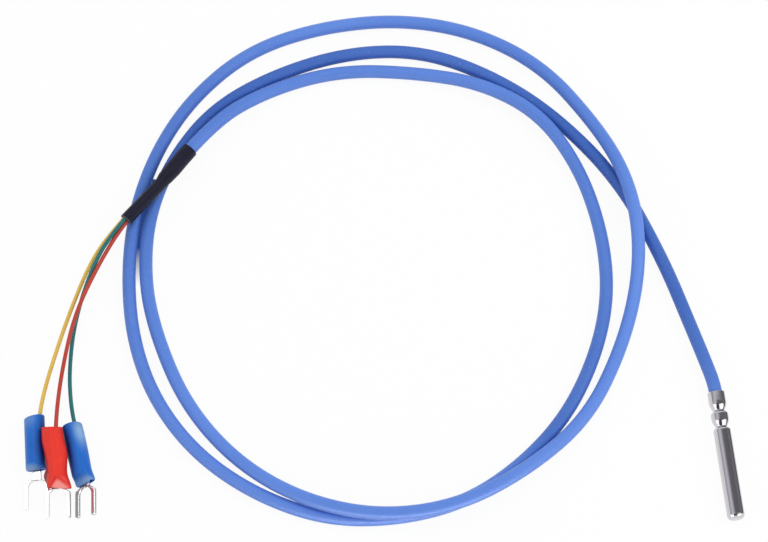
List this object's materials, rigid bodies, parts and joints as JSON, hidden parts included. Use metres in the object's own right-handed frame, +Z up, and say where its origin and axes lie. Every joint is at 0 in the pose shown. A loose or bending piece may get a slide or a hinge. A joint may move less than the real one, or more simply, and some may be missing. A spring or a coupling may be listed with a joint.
{
  "type": "resistance temperature probe",
  "caption": "Temperature probe with a crimped steel sheath, a looped blue cable and thin colour-coded wires ending in sleeved fork terminals.",
  "frame": {"origin": "on the floor under the middle of the lying sheath", "axes": "+Z up, +Y along the sheath from its closed tip to the cable; the loops lie on the -X side"},
  "size_m": [0.1612, 0.1333, 0.007],
  "materials": {
    "stainless": "drawn and polished",
    "cable_blue": "smooth satin silicone",
    "shrink_black": "satin heat-shrink",
    "wire_yellow": "smooth insulation",
    "wire_red": "smooth insulation",
    "wire_green": "smooth insulation",
    "sleeve_blue": "soft vinyl",
    "sleeve_red": "soft vinyl",
    "tinned_copper": "bright tin plate",
    "bare_copper": "bare strands",
    "chip_ceramic": "fired plate",
    "glaze_glass": "fused bead",
    "cast_filler": "dry cast",
    "chip_wire": "drawn wire",
    "splice_tube": "braided glass sleeve"
  },
  "bodies": {
    "root": {"probe_sheath": "stainless", "platinum_chip": "chip_ceramic", "lead_glaze": "glaze_glass", "chip_lead_single": "chip_wire", "chip_lead_shared": "chip_wire", "tip_filler": "cast_filler", "single_ferrule": "tinned_copper", "shared_ferrule": "tinned_copper", "single_splice_tube": "splice_tube", "shared_splice_tube": "splice_tube", "red_probe_core": "wire_red", "yellow_probe_core": "wire_yellow", "green_probe_core": "wire_green", "red_probe_copper": "bare_copper", "yellow_probe_copper": "bare_copper", "green_probe_copper": "bare_copper", "cable": "cable_blue", "shrink_tube": "shrink_black", "yellow_wire": "wire_yellow", "red_wire": "wire_red", "green_wire": "wire_green", "yellow_wire_copper": "bare_copper", "yellow_fork": "tinned_copper", "yellow_fork_sleeve": "sleeve_blue", "red_wire_copper": "bare_copper", "red_fork": "tinned_copper", "red_fork_sleeve": "sleeve_red", "green_wire_copper": "bare_copper", "green_fork": "tinned_copper", "green_fork_sleeve": "sleeve_blue"}
  },
  "joints": []
}
